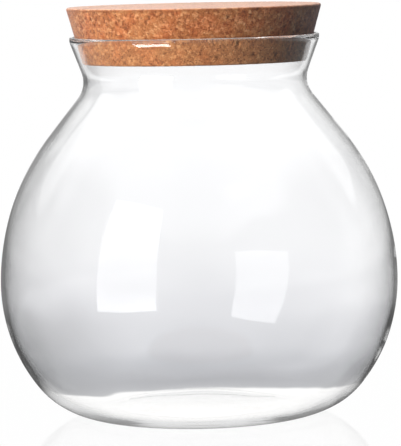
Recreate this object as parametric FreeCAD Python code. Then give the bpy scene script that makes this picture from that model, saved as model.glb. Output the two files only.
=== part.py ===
"""Mouth-blown glass storage jar with a tapered cork lid, in millimetres.

The jar stands on the XY plane with its axis on +Z and the origin at the middle of its foot.
Both pieces are turned from a half section drawn in the XZ plane, where x is the radius.
"""
import FreeCAD, Part
import os
from math import acos, atan2, cos, hypot, pi, radians, sin, sqrt, tan

# Glass jar, sizes of the outer face unless said otherwise
belly_diameter = 230.0
belly_height = 77.0  # widest ring, above the table
lower_belly_radius = 96.0  # curve from the widest ring down to the heel
heel_radius = 48.0  # curve from the lower belly onto the table
upper_belly_radius = 138.0  # curve from the widest ring up to the shoulder
shoulder_length = 28.0  # straight slope between the upper belly's curve and the throat's
throat_diameter = 129.0  # narrowest ring
throat_curve_radius = 15.0  # hollow curve between shoulder and lip
lip_height = 25.5  # from the narrowest ring up to the rim
lip_flare_angle = radians(20.6)  # half angle of the flared lip, from upright
lip_round_radius = 10.0  # fire-polished round that turns the lip upright at its rim
wall_thickness = 2.2
base_thickness = 3.2
bearing_ring_width = 7.0  # flat ring that the jar stands on
push_up_height = 2.0  # rise of the foot's middle above the table

# Cork lid
cork_height = 32.0
cork_taper_angle = radians(15.6)  # half angle of the stopper, from upright
cork_depth = 15.0  # how far the cork sits below the rim
seat_clearance = 0.3  # between the cork's lower edge and the glass, square to the glass
cork_top_round = 1.2
cork_bottom_round = 1.0

UP = pi / 2
DOWN = -pi / 2
OUT = 0.0
IN = pi


def at(radius, height):
    """Point of the half section."""
    return FreeCAD.Vector(radius, 0, height)


def around(centre, radius, angle):
    """Point on a circle of the half section, with the angle counted from straight out."""
    return centre + at(radius * cos(angle), radius * sin(angle))


def arc(centre, radius, start, end):
    """Arc of the half section between two angles."""
    middle = (start + end) / 2
    points = [around(centre, radius, angle) for angle in (start, middle, end)]
    return Part.Arc(*points).toShape()


def join(edges):
    """Closes a chain of section edges, with a straight line wherever two of them don't meet yet."""
    chain = []
    for edge, following in zip(edges, edges[1:] + edges[:1]):
        chain.append(edge)
        here = edge.lastVertex(True).Point
        there = following.firstVertex(True).Point
        if not here.isEqual(there, Part.Precision.confusion()):
            chain.append(Part.makeLine(here, there))
    return Part.Wire(chain)


def turn(section):
    """Solid turned from a closed half section about the jar's axis."""
    return Part.Face(section).revolve(at(0, 0), FreeCAD.Vector(0, 0, 1))


def shoulder_angle():
    """Angle at which the upper belly ends, so that the straight shoulder runs smoothly into the throat."""
    narrowing = (belly_diameter - throat_diameter) / 2
    both_radii = upper_belly_radius + throat_curve_radius
    whole_turn = acos((both_radii - narrowing) / hypot(both_radii, shoulder_length))
    return whole_turn - atan2(shoulder_length, both_radii)


def shoulder_rise():
    """Height of the narrowest ring above the widest one."""
    curved = (upper_belly_radius + throat_curve_radius) * sin(shoulder_angle())
    return curved + shoulder_length * cos(shoulder_angle())


throat_height = belly_height + shoulder_rise()
jar_height = throat_height + lip_height

# Centres of the jar's curves
lower_belly = at(belly_diameter / 2 - lower_belly_radius, belly_height)
upper_belly = at(belly_diameter / 2 - upper_belly_radius, belly_height)
throat = at(throat_diameter / 2 + throat_curve_radius, throat_height)


def heel_centre(belly_radius, round_radius):
    """Centre of a heel curve that runs smoothly into the lower belly, at the heel's own height."""
    drop = belly_height - heel_radius
    reach = sqrt((belly_radius - round_radius) ** 2 - drop**2)
    return at(lower_belly.x + reach, heel_radius)


def heel_angle(centre):
    """Angle at which a heel curve meets the lower belly."""
    return atan2(centre.z - lower_belly.z, centre.x - lower_belly.x)


def lip_line(gap):
    """Radius of the straight lip at a height, for a face that lies the gap inside the outer one."""
    start = around(throat, throat_curve_radius + gap, IN - lip_flare_angle)
    return lambda height: start.x + (height - start.z) * tan(lip_flare_angle)


def push_up(edge_radius, height):
    """Shallow dome over the middle of the foot, from the axis out to the bearing ring."""
    dome_radius = (edge_radius**2 + push_up_height**2) / (push_up_height * 2)
    centre = at(0, height + push_up_height - dome_radius)
    edge_angle = atan2(height - centre.z, edge_radius)
    return arc(centre, dome_radius, UP, edge_angle)


def glass_jar():
    """One blown wall: foot, heel, belly, shoulder, throat and lip outside, then back down inside."""
    heel = heel_centre(lower_belly_radius, heel_radius)
    inner_heel_radius = heel_radius - base_thickness
    inner_heel = heel_centre(lower_belly_radius - wall_thickness, inner_heel_radius)
    shoulder = shoulder_angle()
    ring_radius = heel.x - bearing_ring_width

    thinning = lip_round_radius * (1 - cos(lip_flare_angle))
    edge_radius = (wall_thickness - thinning) / (1 + cos(lip_flare_angle))
    round_height = jar_height - edge_radius
    round_start = round_height - lip_round_radius * sin(lip_flare_angle)
    round_centre = at(lip_line(0)(round_start) - lip_round_radius * cos(lip_flare_angle), round_height)
    edge_centre = around(round_centre, lip_round_radius - edge_radius, OUT)

    outside = [
        push_up(ring_radius, 0),
        arc(heel, heel_radius, DOWN, heel_angle(heel)),
        arc(lower_belly, lower_belly_radius, heel_angle(heel), OUT),
        arc(upper_belly, upper_belly_radius, OUT, shoulder),
        arc(throat, throat_curve_radius, IN + shoulder, IN - lip_flare_angle),
        arc(round_centre, lip_round_radius, -lip_flare_angle, OUT),
    ]
    rim = [arc(edge_centre, edge_radius, OUT, IN - lip_flare_angle)]
    inside = [
        arc(throat, throat_curve_radius + wall_thickness, IN - lip_flare_angle, IN + shoulder),
        arc(upper_belly, upper_belly_radius - wall_thickness, shoulder, OUT),
        arc(lower_belly, lower_belly_radius - wall_thickness, OUT, heel_angle(inner_heel)),
        arc(inner_heel, inner_heel_radius, heel_angle(inner_heel), DOWN),
        push_up(ring_radius, base_thickness).reversed(),
    ]
    return turn(join(outside + rim + inside))


def cork_lid():
    """Tapered stopper whose lower edge seats in the flared lip."""
    bottom = jar_height - cork_depth
    bottom_radius = lip_line(wall_thickness)(bottom) - seat_clearance / cos(lip_flare_angle)
    top_radius = bottom_radius + cork_height * tan(cork_taper_angle)
    cork = Part.makeCone(bottom_radius, top_radius, cork_height, at(0, bottom))
    for height, round_radius in ((bottom, cork_bottom_round), (bottom + cork_height, cork_top_round)):
        edges = [edge for edge in cork.Edges if edge.BoundBox.ZLength < round_radius]
        edge = min(edges, key=lambda edge: abs(edge.CenterOfMass.z - height))
        cork = cork.makeFillet(round_radius, [edge])
    return cork


os.makedirs("parts", exist_ok=True)
for name, shape in (("glass_jar", glass_jar()), ("cork_lid", cork_lid())):
    shape.exportStep(f"parts/{name}.step")
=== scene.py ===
from math import acos, atan2, ceil, cos, hypot, log10, pi, radians, sin, sqrt, tan

import bmesh
import bpy
from mathutils import Matrix, Quaternion, Vector, noise


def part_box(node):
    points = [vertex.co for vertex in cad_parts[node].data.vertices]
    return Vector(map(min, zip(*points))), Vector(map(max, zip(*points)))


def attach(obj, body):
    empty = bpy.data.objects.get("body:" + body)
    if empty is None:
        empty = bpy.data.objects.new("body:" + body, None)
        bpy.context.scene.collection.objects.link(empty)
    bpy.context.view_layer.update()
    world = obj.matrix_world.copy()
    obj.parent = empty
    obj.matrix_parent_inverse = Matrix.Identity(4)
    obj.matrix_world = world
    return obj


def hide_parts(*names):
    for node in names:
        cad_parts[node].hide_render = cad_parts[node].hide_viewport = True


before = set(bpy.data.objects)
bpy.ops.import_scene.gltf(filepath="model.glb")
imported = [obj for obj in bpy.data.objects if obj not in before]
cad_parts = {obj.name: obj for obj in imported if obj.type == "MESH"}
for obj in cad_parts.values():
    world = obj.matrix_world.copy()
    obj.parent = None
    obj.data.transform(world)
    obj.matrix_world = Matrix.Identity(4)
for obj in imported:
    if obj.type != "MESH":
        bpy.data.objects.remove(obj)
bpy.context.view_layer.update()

# A mouth-blown glass jar with a pressed cork lid, in metres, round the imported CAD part.
# The jar stands on the XY plane with its axis on +Z, and the camera looks along +Y.
# Half sections lie in the XZ plane, with x as the radius.
# A soft edge is a pair: where it begins and where it ends.

# Glass jar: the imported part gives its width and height, and the curves are those of its section
jar_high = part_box("glass_jar")[1]
belly_radius = jar_high.x
rim_height = jar_high.z
belly_height = 0.077
lower_belly_curve = 0.096
heel_curve = 0.048
upper_belly_curve = 0.138
shoulder_length = 0.028
throat_radius = 0.0645
throat_curve = 0.015
lip_flare = radians(20.6)
lip_round = 0.010
wall = 0.0022
base_wall = 0.0032
bearing_ring = 0.007
push_up = 0.002
glass_step = 0.0026
glass_segments = 224

# Waver that the blower's breath and tools leave in the wall, stilled at the foot and the lip
broad_waver = 0.00012
broad_waver_length = 0.060
fine_waver = 0.00004
fine_waver_length = 0.018
face_shift = 2.0
still_foot = (0.0, 0.012)
still_lip = (0.90 * rim_height, 0.95 * rim_height)
waver_at_lip_share = 0.03

# Cork lid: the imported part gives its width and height
cork_low, cork_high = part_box("cork_lid")
cork_taper = radians(15.6)
cork_top_round = 0.0012
cork_bottom_round = 0.0010
cork_step = 0.0010
cork_segments = 500
granule = 0.0021
crack_depth = 0.00012
crack_edge = (0.0, 0.22)
pit_depth = 0.00055
pit_edge = (0.1, 0.5)
pit_share = 0.05
pit_pattern = 7.3

# Angles in a half section, and the distance within which two points are one
UP = pi / 2
DOWN = -pi / 2
OUT = 0.0
IN = pi
touching = 1e-6


class Outline:
    """Half section that grows along lines and arcs, with points no further apart than its step."""

    fewest_on_arc = 5

    def __init__(self, start, step):
        self.points = [start]
        self.step = step

    def line(self, end):
        start = self.points[-1]
        count = ceil((end - start).length / self.step - touching)
        for part in range(1, count + 1):
            self.points.append(start.lerp(end, part / count))

    def arc(self, centre, radius, start, end):
        self.line(around(centre, radius, start))
        count = max(self.fewest_on_arc, ceil(abs(end - start) * radius / self.step))
        for part in range(1, count + 1):
            self.points.append(around(centre, radius, start + (end - start) * part / count))


def at(radius, height):
    """Point of a half section."""
    return Vector((radius, 0, height))


def around(centre, radius, angle):
    """Point on a circle of a half section, with the angle counted from straight out."""
    return centre + at(radius * cos(angle), radius * sin(angle))


def turned(points, segments):
    """Closed bmesh spun from a half section that starts and ends on the axis."""
    shape = bmesh.new()
    corners = [shape.verts.new(point) for point in points]
    edges = [shape.edges.new(pair) for pair in zip(corners, corners[1:])]
    bmesh.ops.spin(
        shape,
        geom=corners + edges,
        cent=(0, 0, 0),
        axis=(0, 0, 1),
        angle=2 * pi,
        steps=segments,
        use_merge=True,
    )
    bmesh.ops.remove_doubles(shape, verts=shape.verts, dist=touching)
    bmesh.ops.recalc_face_normals(shape, faces=shape.faces)
    for face in shape.faces:
        face.smooth = True
    return shape


def piece(name, shape, material):
    """Object with the bmesh's shape and one material, at the origin."""
    mesh = bpy.data.meshes.new(name)
    shape.to_mesh(mesh)
    shape.free()
    mesh.materials.append(material)
    made = bpy.data.objects.new(name, mesh)
    bpy.context.scene.collection.objects.link(made)
    return made


def smooth_rise(value, edge):
    """Number that is 0 before a soft edge, 1 past it and rises smoothly between."""
    low, high = edge
    share = min(1.0, max(0.0, (value - low) / (high - low)))
    return share * share * (3 - 2 * share)


# Shader maths


class Value:
    """A node's output that can stand in an expression, where each operator adds a Math node."""

    def __init__(self, graph, output):
        self.graph = graph
        self.output = output

    def math(self, operation, first, second):
        return self.graph.add("ShaderNodeMath", {"operation": operation}, {0: first, 1: second})["Value"]

    def __add__(self, other):
        return self.math("ADD", self, other)

    def __radd__(self, other):
        return self.math("ADD", other, self)

    def __sub__(self, other):
        return self.math("SUBTRACT", self, other)

    def __rsub__(self, other):
        return self.math("SUBTRACT", other, self)

    def __mul__(self, other):
        return self.math("MULTIPLY", self, other)

    def __rmul__(self, other):
        return self.math("MULTIPLY", other, self)

    def __truediv__(self, other):
        return self.math("DIVIDE", self, other)

    def __rtruediv__(self, other):
        return self.math("DIVIDE", other, self)

    def __gt__(self, other):
        return self.math("GREATER_THAN", self, other)

    def __lt__(self, other):
        return self.math("LESS_THAN", self, other)

    def __neg__(self):
        return 0 - self

    def __abs__(self):
        return self.math("ABSOLUTE", self, 0)

    def log10(self):
        return self.math("LOGARITHM", self, 10)


class Node:
    """A node whose outputs are looked up by name or number."""

    def __init__(self, graph, node):
        self.graph = graph
        self.node = node

    def __getitem__(self, output):
        return Value(self.graph, self.node.outputs[output])


class Graph:
    """Node tree of a material or of the world, emptied first."""

    def __init__(self, owner):
        owner.use_nodes = True
        self.tree = owner.node_tree
        self.tree.nodes.clear()

    def add(self, kind, settings=None, sockets=None):
        """Node of a kind, with its settings, then the values or links of its sockets."""
        node = self.tree.nodes.new(kind)
        for name, setting in (settings or {}).items():
            if name == "stops":
                self.set_stops(node.color_ramp, setting)
            else:
                setattr(node, name, setting)
        for name, value in (sockets or {}).items():
            if isinstance(value, Value):
                self.tree.links.new(value.output, node.inputs[name])
            else:
                node.inputs[name].default_value = value
        return Node(self, node)

    def set_stops(self, ramp, stops):
        """Colours along a ramp, the first of them in the stops that it comes with."""
        given = len(ramp.elements)
        for number, (place, colour) in enumerate(stops):
            stop = ramp.elements[number] if number < given else ramp.elements.new(place)
            stop.position = place
            stop.color = (*colour, 1)

    def ramp(self, stops, value):
        """Colour along a ramp."""
        return self.add("ShaderNodeValToRGB", {"stops": stops}, {"Fac": value})["Color"]

    def cloud(self, place, per_metre, detail):
        """Cloudy noise, with its number of waves per metre."""
        return self.add("ShaderNodeTexNoise", {}, {"Vector": place, "Scale": per_metre, "Detail": detail})

    def vectors(self, operation, first, second):
        """Vector Math on two colours or vectors."""
        return self.add("ShaderNodeVectorMath", {"operation": operation}, {0: first, 1: second})[0]

    def scaled(self, vector, scale):
        """Colour or vector times a number."""
        return self.add("ShaderNodeVectorMath", {"operation": "SCALE"}, {0: vector, "Scale": scale})[0]

    def parts(self, vector):
        """Node with a vector's X, Y and Z."""
        return self.add("ShaderNodeSeparateXYZ", {}, {"Vector": vector})

    def channels(self, colour):
        """Node with a colour's Red, Green and Blue."""
        return self.add("ShaderNodeSeparateColor", {}, {"Color": colour})

    def mix(self, share, first, second):
        """Colour between two colours."""
        return self.add("ShaderNodeMix", {"data_type": "RGBA"}, {0: share, 6: first, 7: second})[2]

    def rise(self, value, edge):
        """0 before a soft edge, 1 past it and a smooth rise between."""
        low, high = edge
        settings = {"interpolation_type": "SMOOTHSTEP"}
        sockets = {"Value": value, "From Min": low, "From Max": high}
        return self.add("ShaderNodeMapRange", settings, sockets)["Result"]

    def fall(self, value, edge):
        """1 before a soft edge, 0 past it and a smooth fall between."""
        return 1 - self.rise(value, edge)

    def glow(self, colour, strength=1.0):
        """Shader that shines by itself."""
        return self.add("ShaderNodeEmission", {}, {"Color": colour, "Strength": strength})["Emission"]

    def clear(self):
        """Shader that lets every ray pass."""
        return self.add("ShaderNodeBsdfTransparent")["BSDF"]

    def blend(self, share, first, second):
        """Shader between two shaders."""
        return self.add("ShaderNodeMixShader", {}, {0: share, 1: first, 2: second})[0]

    def cover(self, shader):
        """Makes a shader the surface of the material."""
        self.add("ShaderNodeOutputMaterial", {}, {"Surface": shader})


def between(share, first, second):
    """Number between two numbers."""
    return first + share * (second - first)


# Clear glass

glass_tint = (0.988, 0.99, 0.992, 1)
glass_bending = 1.5
ripples_per_metre = 45.0
ripple_strength = 0.15
ripple_depth = 0.0002
smears_per_metre = 18.0
smear_edge = (0.55, 0.80)
smear_roughness = 0.012


def clear_glass():
    """Colourless soda glass with a faint ripple of its own, and a few smears."""
    material = bpy.data.materials.new("clear_glass")
    graph = Graph(material)
    place = graph.add("ShaderNodeTexCoord")["Object"]
    ripple = graph.cloud(place, ripples_per_metre, detail=1.0)[0]
    ripple = ripple * graph.fall(graph.parts(place)["Z"], still_lip)
    smear = graph.cloud(place, smears_per_metre, detail=3.0)[0]
    bump = {"Height": ripple, "Strength": ripple_strength, "Distance": ripple_depth}
    sockets = {
        "Base Color": glass_tint,
        "Roughness": smear_roughness * graph.rise(smear, smear_edge),
        "IOR": glass_bending,
        "Transmission Weight": 1.0,
        "Normal": graph.add("ShaderNodeBump", {}, bump)["Normal"],
    }
    graph.cover(graph.add("ShaderNodeBsdfPrincipled", {}, sockets)["BSDF"])
    return material


def jar_outline():
    """The blown wall's half section: foot, heel, belly, shoulder, throat and lip, then back down inside."""
    lower_belly = at(belly_radius - lower_belly_curve, belly_height)
    upper_belly = at(belly_radius - upper_belly_curve, belly_height)
    both_curves = upper_belly_curve + throat_curve
    narrowing = belly_radius - throat_radius
    shoulder = acos((both_curves - narrowing) / hypot(both_curves, shoulder_length))
    shoulder -= atan2(shoulder_length, both_curves)
    throat_height = belly_height + both_curves * sin(shoulder) + shoulder_length * cos(shoulder)
    throat = at(throat_radius + throat_curve, throat_height)

    def heel_centre(belly_curve, round_curve):
        reach = sqrt((belly_curve - round_curve) ** 2 - (belly_height - heel_curve) ** 2)
        return at(lower_belly.x + reach, heel_curve)

    def heel_angle(centre):
        return atan2(centre.z - lower_belly.z, centre.x - lower_belly.x)

    inner_heel_curve = heel_curve - base_wall
    heel = heel_centre(lower_belly_curve, heel_curve)
    inner_heel = heel_centre(lower_belly_curve - wall, inner_heel_curve)
    ring = heel.x - bearing_ring
    dome_curve = (ring**2 + push_up**2) / (push_up * 2)
    dome_edge = acos(ring / dome_curve)

    edge_round = (wall - lip_round * (1 - cos(lip_flare))) / (1 + cos(lip_flare))
    round_height = rim_height - edge_round
    lip_start = around(throat, throat_curve, IN - lip_flare)
    round_start = round_height - lip_round * sin(lip_flare)
    round_radius = lip_start.x + (round_start - lip_start.z) * tan(lip_flare)
    lip_centre = at(round_radius - lip_round * cos(lip_flare), round_height)
    edge_centre = around(lip_centre, lip_round - edge_round, OUT)

    outline = Outline(at(0, push_up), glass_step)
    outline.arc(at(0, push_up - dome_curve), dome_curve, UP, dome_edge)
    outline.arc(heel, heel_curve, DOWN, heel_angle(heel))
    outline.arc(lower_belly, lower_belly_curve, heel_angle(heel), OUT)
    outline.arc(upper_belly, upper_belly_curve, OUT, shoulder)
    outline.arc(throat, throat_curve, IN + shoulder, IN - lip_flare)
    outline.arc(lip_centre, lip_round, -lip_flare, OUT)
    outline.arc(edge_centre, edge_round, OUT, IN - lip_flare)
    outline.arc(throat, throat_curve + wall, IN - lip_flare, IN + shoulder)
    outline.arc(upper_belly, upper_belly_curve - wall, shoulder, OUT)
    outline.arc(lower_belly, lower_belly_curve - wall, OUT, heel_angle(inner_heel))
    outline.arc(inner_heel, inner_heel_curve, heel_angle(inner_heel), DOWN)
    outline.arc(at(0, base_wall + push_up - dome_curve), dome_curve, dome_edge, UP)
    return outline.points


def blow(shape):
    """Lets the two faces waver a little, each its own way, but not where the jar stands or the cork seats."""
    shape.normal_update()
    for corner in shape.verts:
        side = corner.normal * face_shift
        shift = broad_waver * noise.noise(corner.co / broad_waver_length + side)
        shift += fine_waver * noise.noise(corner.co / fine_waver_length + side)
        shift *= smooth_rise(corner.co.z, still_foot)
        shift *= between(smooth_rise(corner.co.z, still_lip), 1.0, waver_at_lip_share)
        corner.co += corner.normal * shift


def glass_jar():
    shape = turned(jar_outline(), glass_segments)
    blow(shape)
    jar = piece("blown_jar", shape, clear_glass())
    jar.visible_shadow = False
    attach(jar, "jar")
    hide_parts("glass_jar")


# Pressed cork: browns by tone, from bark to pale grain, and the layers over them with their shares

cork_browns = [
    (0.22, (0.200, 0.055, 0.017)),
    (0.42, (0.400, 0.138, 0.043)),
    (0.58, (0.490, 0.190, 0.066)),
    (0.80, (0.660, 0.325, 0.140)),
]
granule_share = 0.38
fleck_share = 0.34
grain_share = 0.28
flecks_per_granule = 2.3
grains_per_metre = 1400.0
bends_per_metre = 700.0
bend_reach = 0.0030
noise_middle = (0.5, 0.5, 0.5)
patches_per_metre = 90.0
patch_edge = (0.45, 0.65)
patch_share = 0.9
patch_red = (1.0, 0.80, 0.74)
seam_edge = (0.0, 0.10)
seam_share = 0.35
seam_brown = (0.20, 0.065, 0.022, 1)
# Painted sheen: the top face is painted a pale tan for the light that it mirrors at a grazing angle
top_sheen_edge = (cork_high.z - 0.0008, cork_high.z - 0.0002)
top_sheen_share = 0.4
top_sheen_tan = (0.82, 0.60, 0.45, 1)
# Painted light: the cork below the rim, seen through the lip, is painted a brighter orange
below_rim_light_edge = (rim_height - 0.004, rim_height)
below_rim_light_share = 0.18
below_rim_light_tan = (0.95, 0.48, 0.21, 1)
bark_edge = (0.87, 0.93)
bark_share = 0.6
bark_brown = (0.13, 0.036, 0.014, 1)
# A darker band just under the top edge of the side
top_band_begin = (cork_high.z - 0.0026, cork_high.z - 0.0014)
top_band_end = (cork_high.z - 0.0010, cork_high.z - 0.0005)
top_band_share = 0.5
# Painted shade: pits where granules broke out are painted dark
pit_shade_share = 0.75
pit_shade_brown = (0.11, 0.035, 0.013, 1)
relief_edge = (0.0, 0.12)
relief_share = 0.4
relief_strength = 0.5
relief_depth = 0.0006
cork_roughness = 0.62
grain_roughness = 0.2


def bent(graph, place):
    """Place that wanders a little, so that seams between granules aren't straight."""
    wander = graph.cloud(place, bends_per_metre, detail=2.0)["Color"]
    wander = graph.vectors("SUBTRACT", wander, noise_middle)
    return graph.vectors("ADD", place, graph.scaled(wander, bend_reach))


def cork_colour(graph, place, shade, seams, bark):
    """Browns of the granules, redder in patches, under seams, with a painted sheen on the top face, painted
    light on the cork below the rim, bark, a darker band under the top edge and painted shade in pits.
    """
    brown = graph.ramp(cork_browns, shade)
    patch = graph.cloud(place, patches_per_metre, detail=2.0)[0]
    redder = graph.vectors("MULTIPLY", brown, patch_red)
    brown = graph.mix(patch_share * graph.rise(patch, patch_edge), brown, redder)
    height = graph.parts(place)["Z"]
    # darker band just under the top edge
    top_band = graph.rise(height, top_band_begin) * graph.fall(height, top_band_end)
    pit = graph.add("ShaderNodeAttribute", {"attribute_name": "pit"})["Fac"]
    layers = [
        (seam_share * graph.fall(seams, seam_edge), seam_brown),
        # painted sheen on the top face
        (top_sheen_share * graph.rise(height, top_sheen_edge), top_sheen_tan),
        # painted light on the cork below the rim
        (below_rim_light_share * graph.fall(height, below_rim_light_edge), below_rim_light_tan),
        (bark_share * graph.rise(bark, bark_edge), bark_brown),
        (top_band_share * top_band, seam_brown),
        # painted shade in the pits
        (pit_shade_share * pit, pit_shade_brown),
    ]
    for share, colour in layers:
        brown = graph.mix(share, brown, colour)
    return brown


def pressed_cork():
    """Granules of bark pressed together: each has its own brown, with flecks in it and seams round it."""
    material = bpy.data.materials.new("pressed_cork")
    graph = Graph(material)
    place = graph.add("ShaderNodeTexCoord")["Object"]
    granules = {"Vector": bent(graph, place), "Scale": 1 / granule}
    flecks = {"Vector": granules["Vector"], "Scale": flecks_per_granule / granule}
    granule_tone = graph.channels(graph.add("ShaderNodeTexVoronoi", {}, granules)["Color"])
    fleck_tone = graph.channels(graph.add("ShaderNodeTexVoronoi", {}, flecks)["Color"])
    seams = graph.add("ShaderNodeTexVoronoi", {"feature": "DISTANCE_TO_EDGE"}, granules)["Distance"]
    grain = graph.cloud(place, grains_per_metre, detail=3.0)[0]
    shade = granule_share * granule_tone["Red"] + fleck_share * fleck_tone["Green"] + grain_share * grain
    relief = shade + relief_share * graph.rise(seams, relief_edge)
    bump = {"Height": relief, "Strength": relief_strength, "Distance": relief_depth}
    sockets = {
        "Base Color": cork_colour(graph, place, shade, seams, fleck_tone["Red"]),
        "Roughness": cork_roughness + grain_roughness * grain,
        "Specular IOR Level": 0.55,
        "Sheen Weight": 0.25,
        "Sheen Roughness": 0.4,
        "Normal": graph.add("ShaderNodeBump", {}, bump)["Normal"],
    }
    graph.cover(graph.add("ShaderNodeBsdfPrincipled", {}, sockets)["BSDF"])
    return material


def cork_outline():
    """Tapered stopper with edges rounded as by wear."""
    top = at(cork_high.x - cork_top_round, cork_high.z - cork_top_round)
    across = at(cos(cork_taper), -sin(cork_taper))
    bottom_height = cork_low.z + cork_bottom_round
    side = across.dot(top) + cork_top_round - cork_bottom_round
    bottom = at((side - across.z * bottom_height) / across.x, bottom_height)
    outline = Outline(at(0, cork_low.z), cork_step)
    outline.arc(bottom, cork_bottom_round, DOWN, -cork_taper)
    outline.arc(top, cork_top_round, -cork_taper, UP)
    outline.line(at(0, cork_high.z))
    return outline.points


def press_granules(shape):
    """Sinks the seams between granules, and a pit wherever one has broken out, and notes where pits are."""
    shape.normal_update()
    layer = shape.verts.layers.float.new("pit")
    for corner in shape.verts:
        gaps, centres = noise.voronoi(corner.co / granule)
        off_seam = gaps[1] - gaps[0]
        crack = 1 - smooth_rise(off_seam, crack_edge)
        lost = noise.cell(centres[0] * pit_pattern) > 1 - pit_share
        pit = smooth_rise(off_seam, pit_edge) if lost else 0.0
        corner[layer] = pit
        corner.co -= corner.normal * (crack_depth * crack + pit_depth * pit)


def cork_lid():
    shape = turned(cork_outline(), cork_segments)
    press_granules(shape)
    lid = piece("cork_stopper", shape, pressed_cork())
    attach(lid, "lid")
    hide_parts("cork_lid")


# Studio: table, air and soft box look different to each kind of ray, to give clear glass its contours

white = (1, 1, 1, 1)
black = (0, 0, 0, 1)
through_glass_white = 1.19


class Rays:
    """Shares that are 1 for rays straight from the lens, through glass, off a mirror or off a matt surface.

    A ray that was mirrored and then came through has bounced about inside the wall of the glass.
    """

    def __init__(self, graph):
        path = graph.add("ShaderNodeLightPath")
        self.direct = path["Is Camera Ray"]
        self.through = path["Is Transmission Ray"]
        self.mirrored = path["Glossy Depth"] > 0
        self.scattered = path["Diffuse Depth"] > 0


# Table as it shows through the glass: greys by distance from the axis that are painted shade, darkest near
# the jar, side shades, a painted lift to the right and painted white under the foot

# Painted shade: the table is greyest nearest the jar and lighter with distance
table_greys = [
    (0.100, (0.370, 0.374, 0.396)),
    (0.123, (0.420, 0.425, 0.448)),
    (0.186, (0.545, 0.551, 0.576)),
    (0.257, (0.652, 0.656, 0.680)),
    (0.501, (0.762, 0.762, 0.784)),
    (0.881, (0.870, 0.870, 0.882)),
    (1.000, (0.880, 0.880, 0.890)),
]
nearest_grey = table_greys[0][0]
far_table = (0.9, 4.0)
far_grey = (0.95, 0.95, 0.955, 1)
left_lean = 0.07
left_shade = 0.12
left_shade_begin = (0.03, 0.16)
left_shade_end = (0.30, 0.50)
near_left_shade = 0.33
near_left_begin = (0.04, 0.13)
near_left_end = (0.25, 0.60)
near_right_shade = 0.08
near_right_begin = (0.06, 0.13)
near_right_end = (0.16, 0.24)
right_lift = 0.3
right_lift_way = (0.10, 0.28)
right_lift_begin = (0.3, 0.6)
right_white = (1.2, 1.2, 1.2, 1)
foot_white = (1.10, 1.09, 1.07, 1)
foot_front = (-0.16, -0.12)
foot_back = (0.055, 0.067)
foot_back_lean = 0.08
foot_back_bow = 3.2
foot_side = (0.10, 0.13)


def white_under_foot(graph, across, back):
    """Share of the white that shows through the base, up to a bowed edge behind the foot."""
    behind = back - foot_back_lean * across + foot_back_bow * across * across
    patch = graph.fall(behind, foot_back) * graph.fall(abs(across), foot_side)
    return patch * graph.rise(back, foot_front)


def table_through_glass(graph, away, across, back):
    """Colour of the table as it shows through the glass."""
    stops = [(log10(distance / nearest_grey), grey) for distance, grey in table_greys]
    grey = graph.ramp(stops, (away / nearest_grey).log10())
    grey = graph.mix(graph.rise(away, far_table), grey, far_grey)
    left = -across
    outwards = left - left_lean * back
    shade = left_shade * graph.rise(outwards, left_shade_begin) * graph.fall(outwards, left_shade_end)
    shade = shade + near_left_shade * graph.rise(left, near_left_begin) * graph.fall(away, near_left_end)
    shade = shade + near_right_shade * graph.rise(across, near_right_begin) * graph.fall(away, near_right_end)
    grey = graph.mix(shade, grey, black)
    lift = right_lift * graph.rise(across / away, right_lift_way) * graph.rise(away, right_lift_begin)
    grey = graph.mix(lift, grey, right_white)
    return graph.mix(white_under_foot(graph, across, back), grey, foot_white)


# Table as the glass mirrors it: dark, and clear past its ends, where the soft box and the air show instead

dark_edge = (0.3, 0.5)
near_dark = (0.09, 0.09, 0.09, 1)
far_dark = (0.2, 0.2, 0.2, 1)
outer_table_end = (0.35, 0.3605)
inner_table_end = (0.29, 0.2987)
back_table_begin = (-0.2, -0.05)
back_table_end = (0.68, 0.74)
heel_white_level = 0.95
heel_white_side = (0.065, 0.110)
heel_white_front = (-0.30, -0.05)
heel_white_back = (0.30, 0.50)
back_widening = 0.065
back_widening_begin = (0.14, 0.24)
heel_widening = 0.02
heel_widening_begin = (-0.07, -0.03)
heel_widening_end = (0.0, 0.05)


def white_in_heel(graph, across, back):
    """Share of the white under and behind the jar that the inside of the wall mirrors into the heel."""
    behind = back_widening * graph.rise(back, back_widening_begin)
    beside = heel_widening * graph.rise(back, heel_widening_begin) * graph.fall(back, heel_widening_end)
    patch = graph.fall(abs(across) - behind - beside, heel_white_side)
    return patch * graph.rise(back, heel_white_front) * graph.fall(back, heel_white_back)


def table_in_mirror(graph, away, across, back, through):
    """Shader of the table as the outer face of the glass mirrors it, and as the inside of its wall does."""
    dark = graph.mix(graph.rise(away, dark_edge), near_dark, far_dark)
    lit = graph.mix(white_in_heel(graph, across, back), dark, white)
    back_table = graph.fall(away, back_table_end) * graph.rise(back, back_table_begin)
    beyond = graph.blend(back_table, graph.clear(), graph.glow(dark))
    outer = graph.blend(graph.rise(away, outer_table_end), graph.glow(dark), beyond)
    inner = graph.blend(graph.rise(away, inner_table_end), graph.glow(lit, heel_white_level), beyond)
    return graph.blend(through, outer, inner)


# Table itself

table_gap = 0.0002
table_half = 30.0
sheen = 0.12
sheen_end = (0.3, 0.6)
sheen_roughness = 0.03
bounce_blue = (0.72, 1.06, 1.5, 1)
bounce_level = 0.25


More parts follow.
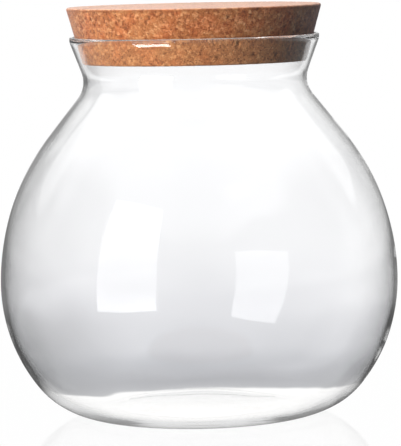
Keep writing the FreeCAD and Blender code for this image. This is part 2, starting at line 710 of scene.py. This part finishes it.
def pale_table():
    """White to the lens with a faint sheen near the jar, and a cool bounce on the cork."""
    material = bpy.data.materials.new("pale_table")
    graph = Graph(material)
    rays = Rays(graph)
    place = graph.add("ShaderNodeTexCoord")["Object"]
    away = graph.add("ShaderNodeVectorMath", {"operation": "LENGTH"}, {0: place})["Value"]
    spot = graph.parts(place)
    across = spot["X"]
    back = spot["Y"]
    gloss = graph.add("ShaderNodeBsdfGlossy", {}, {"Color": white, "Roughness": sheen_roughness})["BSDF"]
    to_lens = graph.blend(sheen * graph.fall(away, sheen_end), graph.glow(white), gloss)
    behind_glass = graph.glow(table_through_glass(graph, away, across, back), through_glass_white)
    in_mirror = table_in_mirror(graph, away, across, back, rays.through)
    bounce = graph.glow(bounce_blue, bounce_level)
    surface = graph.blend(rays.through, bounce, behind_glass)
    surface = graph.blend(rays.mirrored, surface, in_mirror)
    surface = graph.blend(rays.direct, surface, to_lens)
    graph.cover(graph.blend(rays.scattered, surface, bounce))
    material.cycles.emission_sampling = "NONE"
    return material


def table_top():
    shape = bmesh.new()
    bmesh.ops.create_grid(shape, x_segments=1, y_segments=1, size=table_half)
    bmesh.ops.translate(shape, verts=shape.verts, vec=(0, 0, -table_gap))
    table = piece("table", shape, pale_table())


# Air: levels by the way that a ray leaves, where 1 is white

fill_level = 0.07
fill_blue = (0.18, 0.95, 2.8, 1)
dim_air = 0.2
back_half = (0.0, 0.3)
ceiling_level = 0.7
ceiling_share = 0.35
ceiling_edge = (0.0, 0.9)
back_ceiling_edge = (0.25, 0.45)
ground_level = 0.65
ground_edge = (-0.20, -0.13)
ground_front = (-0.2, 0.1)
right_level = 0.45
right_edge = (0.0, 0.6)
left_level = 0.18
left_edge = (-0.5, 0.0)
side_foot = (-0.06, 0.02)
shoulder_level = 0.35
shoulder_edge = (0.60, 0.85)
shoulder_foot = (0.04, 0.16)
middle_level = 0.75
middle_foot = (-0.06, -0.03)
middle_top = (0.4, 0.8)
middle_front = (0.2, 0.6)
middle_side = (0.10, 0.25)


def air_in_mirror(graph, across, back, up):
    """Level of the air as the glass mirrors it: dim, but lighter overhead, low down, aside and behind."""
    ceiling = ceiling_share * graph.rise(up, ceiling_edge)
    ceiling = between(graph.rise(up, back_ceiling_edge) * graph.rise(back, back_half), ceiling, 1.0)
    ground = ground_level * graph.fall(up, ground_edge) * graph.rise(back, ground_front)
    sides = right_level * graph.rise(across, right_edge) + left_level * graph.fall(across, left_edge)
    sides = sides * graph.rise(up, side_foot)
    shoulders = shoulder_level * graph.rise(abs(across), shoulder_edge) * graph.rise(up, shoulder_foot)
    shoulders = shoulders * graph.rise(back, back_half)
    middle = middle_level * graph.rise(up, middle_foot) * graph.fall(up, middle_top)
    middle = middle * graph.rise(back, middle_front) * graph.fall(abs(across), middle_side)
    return dim_air + ceiling_level * ceiling + ground + (sides + shoulders + middle) * (1 - ceiling)


def studio_air():
    """White to the lens and through the glass, dim where the glass mirrors it, and a faint cool fill."""
    world = bpy.data.worlds.new("studio_air")
    bpy.context.scene.world = world
    graph = Graph(world)
    rays = Rays(graph)
    way = graph.parts(graph.add("ShaderNodeTexCoord")["Generated"])
    level = between(rays.through, fill_level, through_glass_white)
    level = between(rays.mirrored, level, air_in_mirror(graph, way["X"], way["Y"], way["Z"]))
    level = between(rays.direct, level, 1.0)
    level = between(rays.scattered, level, fill_level)
    tint = graph.mix(rays.direct + rays.through + rays.mirrored, fill_blue, white)
    air = graph.add("ShaderNodeBackground", {}, {"Color": graph.scaled(tint, level)})["Background"]
    graph.add("ShaderNodeOutputWorld", {}, {"Surface": air})


# Soft boxes: an upright one left of the camera, with a card that the glass mirrors, and a square one overhead

box_turn = radians(-41)
box_distance = 1.5
box_width = 0.96
box_height = 1.47
box_low = -0.22
box_middle = box_low + box_height / 2
box_top = box_low + box_height
box_radiance = 9.0
overhead_width = 1.0
overhead_height = 1.2
overhead_radiance = 5.0
watts_per_radiance = 4

# Card: the box's face, and a strip of light below the table's top that only the round of the lip mirrors
card_below_box = 0.72
strip_top = -0.36
strip_radiance = 14.0
outer_radiance = 1.6
outer_top_loss = 1.0
outer_top_edge = (0.7, box_top)
outer_foot_gain = 3.0
outer_foot_edge = (box_low, 0.15)
inner_radiance = 1.3
inner_top_gain = 1.6
inner_top_edge = (-0.1, 1.2)


def soft_box(name, width, height, radiance, place, aim):
    """Rectangle of light at a place, turned to shine at a point, and unseen by the lens and in the glass."""
    light = bpy.data.lights.new(name, "AREA")
    light.shape = "RECTANGLE"
    light.size = width
    light.size_y = height
    light.energy = radiance * watts_per_radiance * width * height
    box = bpy.data.objects.new(name, light)
    box.location = place
    box.rotation_mode = "QUATERNION"
    box.rotation_quaternion = (aim - place).to_track_quat("-Z", "Y")
    box.visible_camera = False
    box.visible_glossy = False
    box.visible_transmission = False
    bpy.context.scene.collection.objects.link(box)


def box_front():
    """The soft box's face as the glass mirrors it, with the strip below it, and nothing to any other ray."""
    material = bpy.data.materials.new("soft_box_front")
    graph = Graph(material)
    rays = Rays(graph)
    height = graph.parts(graph.add("ShaderNodeTexCoord")["Object"])["Z"]
    face = height > box_low
    strip = (height < strip_top) * (1 - rays.through)
    outer = outer_radiance - outer_top_loss * graph.rise(height, outer_top_edge)
    outer = outer + outer_foot_gain * graph.fall(height, outer_foot_edge)
    inner = inner_radiance + inner_top_gain * graph.rise(height, inner_top_edge)
    radiance = between(rays.through, outer, inner) + strip_radiance * strip
    shown = rays.mirrored * (1 - rays.scattered) * (face + strip)
    graph.cover(graph.blend(shown, graph.clear(), graph.glow(graph.scaled(white[:3], radiance))))
    material.cycles.emission_sampling = "NONE"
    return material


def box_card(middle):
    """Upright card at the soft box's face that reaches on below it."""
    shape = bmesh.new()
    halves = (box_width / 2, (box_height + card_below_box) / 2, 1)
    bmesh.ops.create_grid(shape, x_segments=1, y_segments=1, size=1)
    bmesh.ops.scale(shape, vec=halves, verts=shape.verts)
    bmesh.ops.rotate(shape, matrix=Matrix.Rotation(pi / 2, 3, "X"), verts=shape.verts)
    bmesh.ops.rotate(shape, matrix=Matrix.Rotation(box_turn, 3, "Z"), verts=shape.verts)
    bmesh.ops.translate(shape, vec=middle - at(0, card_below_box / 2), verts=shape.verts)
    front = piece("soft_box_front", shape, box_front())
    front.visible_camera = False
    front.visible_diffuse = False
    front.visible_shadow = False


def studio_lights():
    """The upright soft box lights the cork and shows twice in the belly; the other lights the cork's top."""
    upright = Vector((box_distance * sin(box_turn), -box_distance * cos(box_turn), box_middle))
    soft_box("left_soft_box", box_width, box_height, box_radiance, upright, at(0, box_middle))
    box_card(upright)
    lid = at(0, cork_high.z)
    above = lid + at(0, overhead_height)
    soft_box("overhead", overhead_width, overhead_width, overhead_radiance, above, lid)


# Camera, fitted to the jar's outline in the photograph

film_width = 36.0
lens_length = 233.5
lens_place = Vector((0, -1.6699, 0.2737))
lens_aim = Vector((0.0014, 0, 0.1104))
lens_roll = radians(-1.2)
nearest_seen = 0.05
farthest_seen = 100.0


def camera():
    """Long lens a little above the lid, looking down and tipped as in the photograph."""
    lens = bpy.data.cameras.new("camera")
    lens.sensor_width = film_width
    lens.lens = lens_length
    lens.clip_start = nearest_seen
    lens.clip_end = farthest_seen
    view = bpy.data.objects.new("camera", lens)
    view.location = lens_place
    view.rotation_mode = "QUATERNION"
    roll = Quaternion((0, 0, 1), lens_roll)
    view.rotation_quaternion = (lens_aim - lens_place).to_track_quat("-Z", "Y") @ roll
    bpy.context.scene.collection.objects.link(view)
    bpy.context.scene.camera = view


# Bounces: light runs a long way inside the glass wall, and would go dark where its path is cut off

glass_bounces = 256
clear_bounces = 24


def exposure():
    scene = bpy.context.scene
    scene.view_settings.view_transform = "Standard"
    scene.cycles.max_bounces = glass_bounces
    scene.cycles.transmission_bounces = glass_bounces
    scene.cycles.glossy_bounces = glass_bounces
    scene.cycles.transparent_max_bounces = clear_bounces


glass_jar()
cork_lid()
table_top()
studio_air()
studio_lights()
camera()
exposure()
